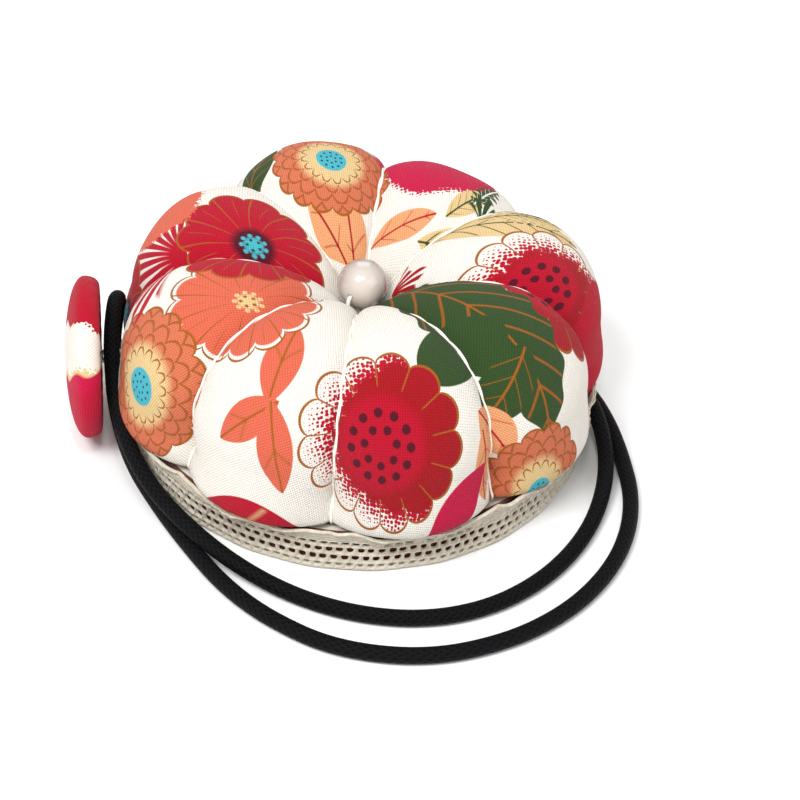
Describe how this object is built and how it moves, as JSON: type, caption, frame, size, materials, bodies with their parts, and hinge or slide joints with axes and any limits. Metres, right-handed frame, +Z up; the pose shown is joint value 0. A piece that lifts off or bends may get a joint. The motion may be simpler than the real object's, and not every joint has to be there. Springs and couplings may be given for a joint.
{
  "type": "pin cushion",
  "caption": "Round lobed wrist pin cushion in a lace-trimmed dish, with a pearl in its dimple and an elastic loop hooked on a covered button.",
  "frame": {"origin": "centre of the felt pad's underside, on the surface that the object stands on", "axes": "+Z up, out of the dish; -X towards the covered button; the wrist cord lies on the -Y side"},
  "size_m": [0.0911, 0.097, 0.0341],
  "materials": {
    "printed_cotton": "off-white plain-weave cotton with a red, coral and green flower print",
    "felt": "plain cream wool felt",
    "dish_plastic": "moulded plastic, fine matt",
    "lace_cotton": "ecru crocheted cotton",
    "fibre_fill": "packed polyester fibre",
    "glue": "set hot-melt glue",
    "pearl": "pearlescent coating",
    "thread": "white twisted thread",
    "elastic": "black braided cover on round elastic",
    "button_metal": "pressed sheet",
    "button_wire": "plated wire"
  },
  "bodies": {
    "root": {"base_felt": "felt", "base_cup": "dish_plastic", "base_wrap": "printed_cotton", "lace_band": "lace_cotton", "cushion_cover": "printed_cotton", "stuffing": "fibre_fill", "cushion_glue": "glue", "cord_glue": "glue", "pearl_thread": "thread", "pearl_knot": "thread", "wrist_cord": "elastic", "groove_thread_1": "thread", "groove_thread_2": "thread", "groove_thread_3": "thread", "groove_thread_4": "thread", "groove_thread_5": "thread", "groove_thread_6": "thread", "groove_thread_7": "thread", "groove_thread_8": "thread"},
    "pearl": {"pearl": "pearl"},
    "button": {"button_neck": "thread", "button_fabric": "printed_cotton", "button_shell": "button_metal", "button_back": "button_metal", "button_eye": "button_wire"}
  },
  "joints": [
    {"name": "pearl_spin", "type": "hinge", "parent": "root", "child": "pearl", "pos_m": [0, 0, 0.0264], "axis": [0.5592, 0.829, 0], "continuous": true},
    {"name": "button_twist", "type": "hinge", "parent": "root", "child": "button", "pos_m": [-0.0416, -0.0012, 0.0133], "axis": [-1, 0, 0], "range_deg": [-90, 90]}
  ]
}
